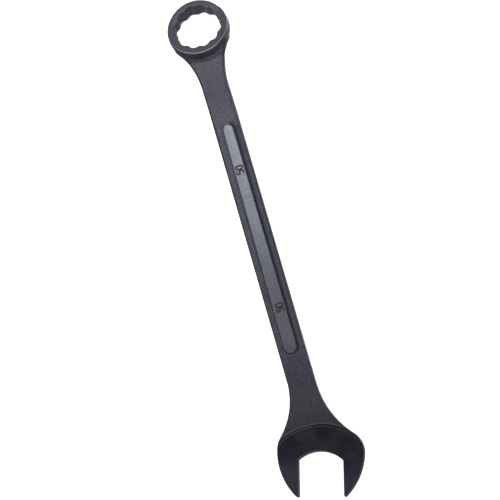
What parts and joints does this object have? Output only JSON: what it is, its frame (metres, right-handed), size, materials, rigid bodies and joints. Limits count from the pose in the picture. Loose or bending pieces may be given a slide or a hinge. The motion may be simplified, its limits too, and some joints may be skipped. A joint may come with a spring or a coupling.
{
  "type": "combination wrench",
  "caption": "Large combination wrench: a long flat shank with raised side panels, a tilted twelve-point ring at one end and an angled open jaw at the other.",
  "frame": {"origin": "centre of the ring end's twelve-point socket, on the socket's axis half way through the ring", "axes": "+X along the shank from the ring to the open jaw, +Z square to the shank's flat front face, +Y across the shank"},
  "size_m": [0.5986, 0.0958, 0.0318],
  "materials": {
    "forged_black": "satin",
    "milled_black": "satin",
    "ground_panel": "satin"
  },
  "bodies": {
    "root": {"box_end": "forged_black", "shank": "forged_black", "front_panel": "ground_panel", "back_panel": "ground_panel", "open_end": "milled_black"}
  },
  "joints": []
}
